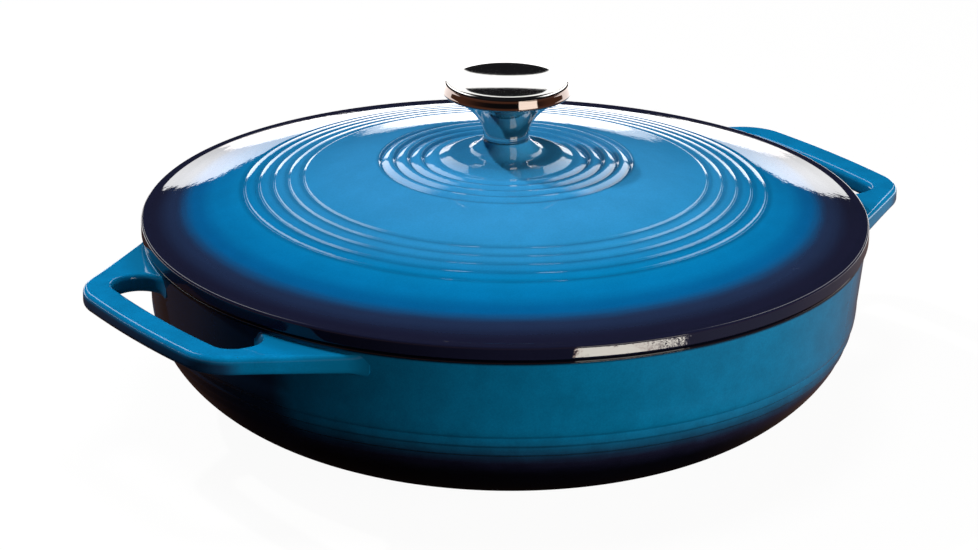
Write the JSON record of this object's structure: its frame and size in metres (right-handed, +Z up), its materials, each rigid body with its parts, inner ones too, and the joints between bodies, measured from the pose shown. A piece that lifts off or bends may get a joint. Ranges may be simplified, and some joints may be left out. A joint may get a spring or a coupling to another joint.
{
  "type": "covered casserole",
  "caption": "Shallow round enamelled cast-iron casserole with two loop handles and a domed lid that lifts off by a polished steel knob.",
  "frame": {"origin": "centre of the pot's flat base, on the surface that it stands on", "axes": "+Z up along the axis of the pot, lid and knob, +X towards the right handle, +Y towards the back"},
  "size_m": [0.3604, 0.3, 0.1424],
  "materials": {
    "pot_enamel": "gloss",
    "lid_enamel": "gloss",
    "polished_steel": "polished",
    "zinc_screw": "satin",
    "zinc_washer": "satin"
  },
  "bodies": {
    "pot": {"pot": "pot_enamel"},
    "lid": {"lid": "lid_enamel", "knob": "polished_steel", "knob_screw": "zinc_screw", "lock_washer": "zinc_washer"}
  },
  "joints": [
    {"name": "lid_lift", "type": "slide", "parent": "pot", "child": "lid", "axis": [0, 0, 1], "range_m": [0, 0.12]}
  ]
}
